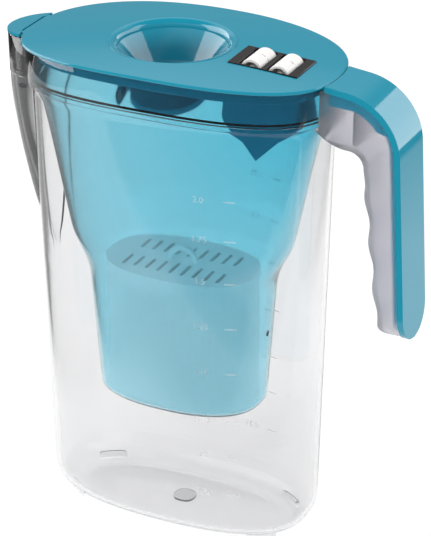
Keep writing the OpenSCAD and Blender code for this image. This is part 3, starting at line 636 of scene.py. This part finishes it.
# %% The spout cap
def two_skins(rows, columns):
    """Faces of two equal grids of points, one after the other, joined along their edge."""
    base = rows * columns
    cell = [(i * columns + j, i * columns + j + 1, (i + 1) * columns + j + 1, (i + 1) * columns + j)
            for i in range(rows - 1) for j in range(columns - 1)]
    edge = [i * columns for i in range(rows)]
    edge += [(rows - 1) * columns + j for j in range(1, columns)]
    edge += [i * columns + columns - 1 for i in range(rows - 2, -1, -1)]
    edge += list(range(columns - 2, 0, -1))
    faces = [list(c) for c in cell] + [[v + base for v in c[::-1]] for c in cell]
    for a, b in zip(edge, edge[1:] + edge[:1]):
        faces.append([a, b, b + base, a + base])
    return faces


def spout_cap():
    w, s = SPOUT_HALF + 0.3, spout_tip(RIM_Z) + 0.3 - RIM_A
    y = np.linspace(-1, 1, 141) * 19.25
    front = -reach(y, RIM_A, RIM_B) - s * np.sqrt(1 - (y / w) ** 2)
    back = np.minimum(-reach(y, LID_A + 1.3, LID_B + 1.3), CAP_X + 0.2)
    back = np.where(np.abs(y) < 11.9, np.minimum(back, CAP_X - 1.95), back)
    keep = front < back - 0.05
    y, front, back = y[keep], front[keep], back[keep]
    k = np.linspace(0, 1, 9)
    grid = np.stack([front[:, None] + (back - front)[:, None] * k, np.repeat(y[:, None], 9, 1)], 2)
    plan = grid.reshape(-1, 2)
    points = np.concatenate([lifted(plan, LID_TOP, 1), lifted(plan, LID_TOP - PLATE, 1)])
    hinge = [rod(CAP_X, CAP_Z, y - 1.4, y + 1.4, 1.6, CAP_BORE) for y in (-13.3, 13.3)]
    return together((points, two_skins(len(y), len(k))), *hinge)


make_piece("teal_spout_cap", *spout_cap(), TEAL, "cap_body", ["spout_cap"], "teal")

# %% [markdown]
# The handle's outer strip is a profile in side view, carried across the handle's width. Its
# free end is a half round seen from outside, so its side edges follow that round.

# %% The handle cover
def round_edges(piece, width, segments, degrees=30):
    bevel = piece.modifiers.new("rounded_edges", "BEVEL")
    bevel.width, bevel.segments = width * MM, segments
    bevel.limit_method, bevel.angle_limit = "ANGLE", math.radians(degrees)


HANDLE_W, COVER_T, BEND_R, BEND_X, BEND_Z = 32.0, 3.4, 34.3, 96.0, 240.0
LEAN, SLOPE, HANDLE_LOW, GRIP_WALL = math.radians(3.1), math.radians(6.9), 136.0, 2.4


def handle_line(inset, start_x, count=40):
    """The strip's face in side view, from the lid to the free end, with even spacing."""
    r = BEND_R - inset
    arc = [(BEND_X + r * math.cos(t), BEND_Z + r * math.sin(t))
           for t in np.linspace(math.pi / 2 - SLOPE, LEAN, count)]
    first, last = arc[0], arc[-1]
    top = [(x, first[1] + (first[0] - x) * math.tan(SLOPE))
           for x in np.linspace(start_x, first[0], 8)]
    low = [(last[0] + (last[1] - z) * math.tan(LEAN), z)
           for z in np.linspace(last[1], HANDLE_LOW, 90)]
    return np.array(top[:-1] + arc[:-1] + low)


def half_width(z, width, low):
    r = width / 2
    drop = np.clip((low + r - z) / r, 0, 1)
    return r * np.sqrt(np.maximum(0, 1 - drop ** 2))


def cover_strip():
    columns = 33
    across = np.linspace(-1, 1, columns)
    rows = []
    for inset in (0.0, COVER_T):
        line = handle_line(inset, LID_A - 2)
        wide = np.maximum(half_width(line[:, 1], HANDLE_W, HANDLE_LOW), 0.02)
        x, z = (np.repeat(line[:, i][:, None], columns, 1) for i in (0, 1))
        rows.append(np.stack([x, wide[:, None] * across, z], 2))
    start = reach(rows[0][0, :, 1], LID_A + 0.35, LID_B + 0.35)
    k = np.linspace(0, 1, 8)[:, None]
    for layer in rows:
        layer[:8, :, 0] = start + (layer[7, :, 0] - start) * k
        layer[:8, :, 2] = layer[7, :, 2] + (layer[7, :, 0] - layer[:8, :, 0]) * math.tan(SLOPE)
    points = np.concatenate([layer.reshape(-1, 3) for layer in rows])
    return points, two_skins(len(rows[0]), columns)


def prism(outline, half):
    """A side-view outline carried across the handle."""
    side = lambda y: np.column_stack([outline[:, 0], np.full(len(outline), y), outline[:, 1]])
    return skin([side(-half), side(half)])


def bend(inset, t0, t1, count=30):
    r = BEND_R - inset
    return [(BEND_X + r * math.cos(t), BEND_Z + r * math.sin(t))
            for t in np.radians(np.linspace(t0, t1, count))]


def below_bend(inset, z):
    r = BEND_R - inset
    return (BEND_X + r * math.cos(LEAN) + (BEND_Z + r * math.sin(LEAN) - z) * math.tan(LEAN), z)


def plug_and_rib():
    lean, half = math.degrees(LEAN), (HANDLE_W - 2 * GRIP_WALL - 0.6) / 2
    plug = np.array([(RIM_A + 2.9, BEND_Z + BEND_R - COVER_T / 2), (RIM_A + 2.9, BEND_Z + 24.8)]
                    + bend(9.2, 72, 36) + bend(COVER_T - 0.3, 24, 80))
    rib = np.array(bend(COVER_T - 0.3, 50, lean) + [below_bend(COVER_T - 0.3, HANDLE_LOW + 9),
                   below_bend(COVER_T + 4.2, HANDLE_LOW + 9)] + bend(COVER_T + 4.2, lean, 50))
    return prism(plug, half), prism(rib, half - 3.5)


cover = make_piece("teal_handle_cover", *together(cover_strip(), *plug_and_rib()), TEAL, "jug_body",
                   ["handle_cover"], "teal")
round_edges(cover, 0.5, 3, 50)

# %% [markdown]
# The inner half of the handle is one frosted moulding: an open channel with finger grooves,
# a web across the arm and a wall next to the jug. Its side view is carried across the
# handle, then booleans round its end, hollow it and fit it round the jug.

# %% The frosted grip
ARM_Z, FILLET = BEND_Z + 2.6, 9.0
GRIP_X, GRIP_Z = BEND_X + BEND_R - COVER_T - 17.1 + 0.6, ARM_Z - FILLET


def palm_x(z):
    groove = 0.9 * math.sin(math.radians(360 * (GRIP_Z - 22 - z) / 25.8))
    return GRIP_X + (GRIP_Z - z) * 0.115 + groove * float(ease((GRIP_Z - z) / 16))


def grip_profile(inset, outer_inset, start_x):
    end_r, end_z = 8.0, HANDLE_LOW + 9.2
    palm = [(start_x + (GRIP_X - FILLET - start_x) * k, ARM_Z + inset + 9 * (1 - k) ** 2)
            for k in np.linspace(0, 1, 12)]
    r = FILLET + inset
    palm += [(GRIP_X - FILLET + r * math.cos(t), GRIP_Z + r * math.sin(t))
             for t in np.radians(np.arange(80, -1, -8))]
    palm += [(palm_x(z) + inset, z) for z in np.linspace(GRIP_Z, end_z, 90)[1:]]
    r = end_r - inset
    palm += [(palm_x(end_z) + end_r - r * math.cos(t), end_z - r * math.sin(t))
             for t in np.radians(np.arange(9, 91, 9))]
    return np.concatenate([handle_line(outer_inset, start_x), np.array(palm)[::-1]])


def tongue(width, low, x0=60, x1=160):
    """A bar along X whose lower end is a half round."""
    t = np.linspace(math.pi, 2 * math.pi, 49)
    plan = np.array([(width / 2, 300)] + [(-width / 2, 300)]
                    + [(width / 2 * math.cos(a), low + width / 2 * (1 + math.sin(a))) for a in t])
    face = lambda x: np.column_stack([np.full(len(plan), x), plan[:, 0], plan[:, 1]])
    return skin([face(x0), face(x1)])


def carved(base, *steps):
    """The mesh of base after boolean steps, each a name, a mesh and the operation."""
    tools = [(scratch_object(name, *mesh), operation) for name, mesh, operation in steps]
    return combined(scratch_object("base", *base), tools)


half = HANDLE_W / 2 - GRIP_WALL
hollow = carved(
    prism(grip_profile(GRIP_WALL, COVER_T - 2, RIM_A - 25), half),
    ("inner_end", tongue(2 * half, HANDLE_LOW + 4), "INTERSECT"),
    ("web", block((BEND_X + 7.5, -half - 1, ARM_Z - 4), (BEND_X + 9.1, half + 1, BEND_Z + 27.3)),
     "DIFFERENCE"),
    ("jug_wall", block((RIM_A - 8, -half - 1, ARM_Z - 6), (RIM_A + 1.4, half + 1, ARM_Z + 14)),
     "DIFFERENCE"))
body = skin([jug_ring(z, 0, -0.1, 1) for z in (LEDGE_Z - 60, LEDGE_Z - 3.2)])
band = skin([jug_ring(z, STEP, -0.1, 1) for z in (LEDGE_Z - 3.6, RIM_Z + 20)])
outside = carved(
    prism(grip_profile(0, COVER_T + 0.05, RIM_A - 5), HANDLE_W / 2 - 0.3),
    ("outer_end", tongue(HANDLE_W - 0.6, HANDLE_LOW + 0.6), "INTERSECT"),
    ("body", body, "DIFFERENCE"), ("band", band, "DIFFERENCE"), ("hollow", hollow, "DIFFERENCE"))
grip = make_piece("frosted_grip", *outside, FROST, "jug_body", ["handle_grip"], "clear_body", 30)
round_edges(grip, 0.7, 2, 50)

# %% [markdown]
# The calendar is a black frame with two slots. White drums turn in them, each with plain
# numbers printed round it, and their hollow ends stay dark.

# %% The calendar
WHEEL_R, WHEEL_L, WHEEL_Y, DEPTH, PITCH, WHEEL_TEXT = 6.2, 19.6, 0.9, 4.1, 15.5, 2.6


def in_calendar(points):
    return np.array([(calendar_place @ Vector(p))[:] for p in np.asarray(points, float)])


def frame_plate():
    slab = scratch_object("slab", *block((-FRAME_L / 2, -FRAME_W / 2, -FRAME_T),
                                         (FRAME_L / 2, FRAME_W / 2, 0)))
    slots = []
    for s in (-1, 1):
        low, high = (s * PITCH / 2 - 6.5, -11.9, -6), (s * PITCH / 2 + 6.5, 11.3, 6)
        slots.append((scratch_object("slot", *block(low, high)), "DIFFERENCE"))
    points, faces = combined(slab, slots)
    return in_calendar(points), faces


calendar = make_piece("black_calendar_frame", *frame_plate(), BLACK, "lid_body", ["calendar_frame"],
                      "calendar_dark")
round_edges(calendar, 0.3, 2)


def drum(x):
    t = np.arange(96) * 2 * math.pi / 96
    ring = lambda y, r: np.stack([x + r * np.cos(t), np.full(96, y), -DEPTH + r * np.sin(t)], 1)
    y0, y1, mid = WHEEL_Y - WHEEL_L / 2, WHEEL_Y + WHEEL_L / 2, 1.0
    outside = [(y0, WHEEL_R - 1.4), (y0, WHEEL_R - 0.3), (y0 + 0.3, WHEEL_R), (y1 - 0.3, WHEEL_R),
               (y1, WHEEL_R - 0.3), (y1, WHEEL_R - 1.4)]
    web = [(WHEEL_Y + mid, WHEEL_R - 1.4), (WHEEL_Y + mid, 2.4), (y1, 2.4), (y1, 1.06), (y0, 1.06),
           (y0, 2.4), (WHEEL_Y - mid, 2.4), (WHEEL_Y - mid, WHEEL_R - 1.4)]
    points, faces = skin([ring(y, r) for y, r in outside + web], looped=True)
    return in_calendar(points), faces


for side, wheel in ((-1, "month"), (1, "day")):
    make_piece(wheel + "_drum", *drum(side * PITCH / 2), WHITE, wheel + "_body", [wheel + "_wheel"],
               "wheel_white")


def letter_mesh(text, size):
    """Flat triangles of a text, in mm, centred on the origin."""
    curve = bpy.data.curves.new("letters", "FONT")
    curve.body, curve.size, curve.align_x, curve.align_y = text, size, "CENTER", "CENTER"
    thing = bpy.data.objects.new("letters", curve)
    bpy.context.scene.collection.objects.link(thing)
    bpy.context.view_layer.update()
    mesh = thing.evaluated_get(bpy.context.evaluated_depsgraph_get()).to_mesh()
    tool = bmesh.new()
    tool.from_mesh(mesh)
    bmesh.ops.triangulate(tool, faces=tool.faces)
    tool.verts.ensure_lookup_table()
    points = np.array([v.co[:2] for v in tool.verts])
    faces = [[v.index for v in f.verts] for f in tool.faces]
    tool.free()
    bpy.data.objects.remove(thing)
    return points, faces


def wheel_numbers(side, texts):
    """Numbers round a drum, read along it, and printed a hair above its face."""
    parts = []
    x0, r = side * PITCH / 2, WHEEL_R + 0.03
    for i, text in enumerate(texts):
        points, faces = letter_mesh(text, WHEEL_TEXT)
        angle = math.pi / 2 + 0.12 - i * 2 * math.pi / len(texts) - points[:, 1] / r
        placed = np.stack([x0 + r * np.cos(angle), WHEEL_Y + points[:, 0],
                           -DEPTH + r * np.sin(angle)], 1)
        parts.append((in_calendar(placed), faces))
    return together(*parts)


MONTHS, DAYS = [str(i) for i in range(1, 13)], "1 5 10 15 20 25 30 3 8 13".split()
make_piece("month_numbers", *wheel_numbers(-1, MONTHS), INK, "month_body", (), "wheel_white")
make_piece("day_numbers", *wheel_numbers(1, DAYS), INK, "day_body", (), "wheel_white")

# %% [markdown]
# Both long walls carry a volume scale, one mark for each quarter litre. Each number is a
# text, turned into a mesh and laid on the wall's own curve.

# %% The volume marks
def mark_finish():
    f = Finish("raised_mark_plastic", Alpha=0.4)
    grain = f.grain(1800.0, 2.0)
    f.put("Base Color", f.blend(grain, (0.60, 0.62, 0.64), (0.72, 0.74, 0.76)))
    f.put("Roughness", 0.4 + grain * 0.2)
    return f.material


MARK, MARK_TEXT = mark_finish(), 5.0
SCALE = [(34.5, "0.25"), (58.9, "0.5"), (81.5, "0.75"), (111.1, "1.0"), (138.9, "1.25"),
         (166.0, "1.5"), (191.0, "1.75"), (214.0, "2.0")]


def on_wall(x, z, side):
    a, b = body_a(z), body_b(z)
    y = b * np.maximum(0, 1 - np.abs(x / a) ** END) ** (1 / SIDE)
    return np.stack([x, side * (y + 0.06), z], 1)


def volume_marks(side, dash_x, text_x):
    parts = []
    for z, text in SCALE:
        points, faces = letter_mesh(text, MARK_TEXT)
        parts.append((on_wall(text_x - side * points[:, 0], z + points[:, 1], side), faces))
        x = np.linspace(dash_x - 3, dash_x + 3, 9)
        bar = np.concatenate([on_wall(x, np.full(9, z + h), side) for h in (-0.35, 0.35)])
        parts.append((bar, [[i, i + 1, i + 10, i + 9] for i in range(8)]))
    return together(*parts)


make_piece("near_volume_marks", *volume_marks(-1, 47.4, 31.4), MARK, "jug_body", (), "clear_body")
make_piece("far_volume_marks", *volume_marks(1, 37.5, 23.5), MARK, "jug_body", (), "clear_body")

# %% [markdown]
# The pitcher stands on a pale table in an even studio. The camera sees plain white round it.
# Clear walls bend the view: ahead they see the bright set, and past its sides a dark room,
# which draws their dark edges. Polished faces mirror two light cards, the table's end and a
# dim sky. Light that has scattered inside the jug leaves towards an even, bright room.

# %% The studio
RIGHT_X, RIGHT_Y = 0.901, 0.433  # to the camera's right, seen from above
TABLE_LEFT, TABLE_RIGHT, TABLE_BACK = -0.6, (0.45, 0.75, 1, 0), -0.56
TABLE_FRONT = (0.24, 0.26, 1, 0)
SET_LEFT, SET_RIGHT, SET_FRONT = (-0.20, -0.13), (0.30, 0.38, 1, 0), (0.08, 0.14, 1, 0)


def rays(tree):
    """Masks for the camera, mirrored and bent rays, and for bent rays after a diffuse bounce."""
    first = tree.add("ShaderNodeLightPath", out="Diffuse Depth") < 0.5
    bent = tree.ray("Transmission")
    mirrored = tree.ray("Glossy") * (1 - bent) * first
    return tree.ray("Camera"), mirrored, bent * first, bent * (1 - first)


def glow_colour(tree, level):
    """White at level 1, and up to twice as bright."""
    return tree.blend(level * 0.5, (0, 0, 0), (2, 2, 2))


def stage_finish():
    f = Finish("pale_table", Roughness=0.9)
    x, y = f.axis(f.place(), "X"), f.axis(f.place(), "Y")
    across, front = x * RIGHT_X + y * RIGHT_Y, x * RIGHT_Y - y * RIGHT_X
    speck = f.grain(40.0, 2.0)
    f.put("Base Color", f.blend(speck, (0.86, 0.86, 0.86), (0.88, 0.88, 0.88)))
    seen, mirrored, bent, inside = rays(f)
    table = f.soft(front, *TABLE_FRONT) * (front > TABLE_BACK)
    table = table * f.soft(across, *TABLE_RIGHT) * (across > TABLE_LEFT)
    ahead = f.soft(across, *SET_LEFT) * f.soft(across, *SET_RIGHT) * f.soft(front, *SET_FRONT)
    level = seen * 1.06 + mirrored * (0.12 + table * 0.95) + bent * (0.1 + ahead * 1.35)
    colour = glow_colour(f, level + inside * 1.8)
    glow = f.add("ShaderNodeEmission", {}, {"Color": colour})
    f.over(seen * 0.8 + mirrored + inside + bent * (1 - ahead * 0.8), glow)
    return f.material


bpy.ops.mesh.primitive_plane_add(size=12, location=(0, 0, 0))
floor = bpy.context.object
floor.name = "pale_floor"
floor.data.materials.append(stage_finish())

world = bpy.data.worlds.new("studio")
bpy.context.scene.world = world
world.use_nodes = True
sky = Nodes(world.node_tree)
seen, mirrored, bent, inside = rays(sky)
way = sky.add("ShaderNodeTexCoord", out="Generated")
x, y, z = (sky.axis(way, letter) for letter in "XYZ")
across = x * RIGHT_X + y * RIGHT_Y
lit = sky.soft(z - x * 0.3, 0.48, 0.63, 0.30, 0.98) * sky.soft(z, 0.68, 0.82, 1, 0.05)
ahead = (across > SET_LEFT[0]) * (across < 0.4)
level = seen + bent * (0.1 + ahead * 0.9) + mirrored * lit + (1 - seen - bent - mirrored) * 0.85
background = world.node_tree.nodes["Background"]
sky.fill(background.inputs["Color"], glow_colour(sky, level + inside * 0.95))


def soft_box(name, azimuth, elevation, width, height, strength, distance=1.4, aim=(0, 0, 0.16),
             card=False):
    """An area lamp, or a card that only polished faces mirror. Azimuth runs from +Y to +X."""
    lamp = bpy.data.lights.new(name, "AREA")
    lamp.shape, lamp.size, lamp.size_y = "RECTANGLE", width, height
    lamp.energy = strength * width * height * math.pi
    thing = bpy.data.objects.new(name, lamp)
    bpy.context.scene.collection.objects.link(thing)
    a, e = math.radians(azimuth), math.radians(elevation)
    away = Vector((math.sin(a) * math.cos(e), math.cos(a) * math.cos(e), math.sin(e)))
    thing.location = Vector(aim) + away * distance
    thing.rotation_euler = away.to_track_quat("Z", "Y").to_euler()
    thing.visible_camera = thing.visible_transmission = False
    thing.visible_glossy, thing.visible_diffuse = card, not card
    return thing


soft_box("back_left_box", -42, 30, 1.3, 1.2, 1.0)
soft_box("top_box", 150, 70, 1.2, 1.2, 1.2)
soft_box("front_left_box", 215, 25, 0.9, 1.0, 1.3)
soft_box("right_box", 75, 12, 0.9, 0.9, 1.2)
soft_box("right_card", 64.3, 0, 1.0, 0.85, 2.8, 0.9, (-0.346, 0.721, 0.475), card=True)
soft_box("right_high_card", 64.3, 0, 0.53, 1.45, 3.3, 0.9, (-0.015, 0.032, 0.775), card=True)
soft_box("left_card", 244.3, 0, 1.5, 1.45, 4.6, 0.9, (-0.225, 0.469, 0.775), card=True)
print("studio lamps:", len(bpy.data.lights))

# %% [markdown]
# The camera stands where the photographer stood: to the right of the front, a little above
# the lid, with a long lens so that the sides stay almost parallel.

# %% The camera
LOOK_DOWN, TURN = 26.28, 25.65
lens = bpy.data.cameras.new("photo_camera")
lens.lens, lens.sensor_width, lens.sensor_fit = 161.58, 36.0, "AUTO"
lens.clip_end = 50
camera = bpy.data.objects.new("photo_camera", lens)
camera.location = (0.52805, -1.05977, 0.73203)
camera.rotation_euler = (math.radians(90 - LOOK_DOWN), 0, math.radians(TURN))
bpy.context.scene.collection.objects.link(camera)
bpy.context.scene.camera = camera
bpy.context.scene.view_settings.view_transform = "Standard"
print("camera at", tuple(camera.location))

# %% [markdown]
# The last step brings the scene up to date.

# %% The end
bpy.context.view_layer.update()
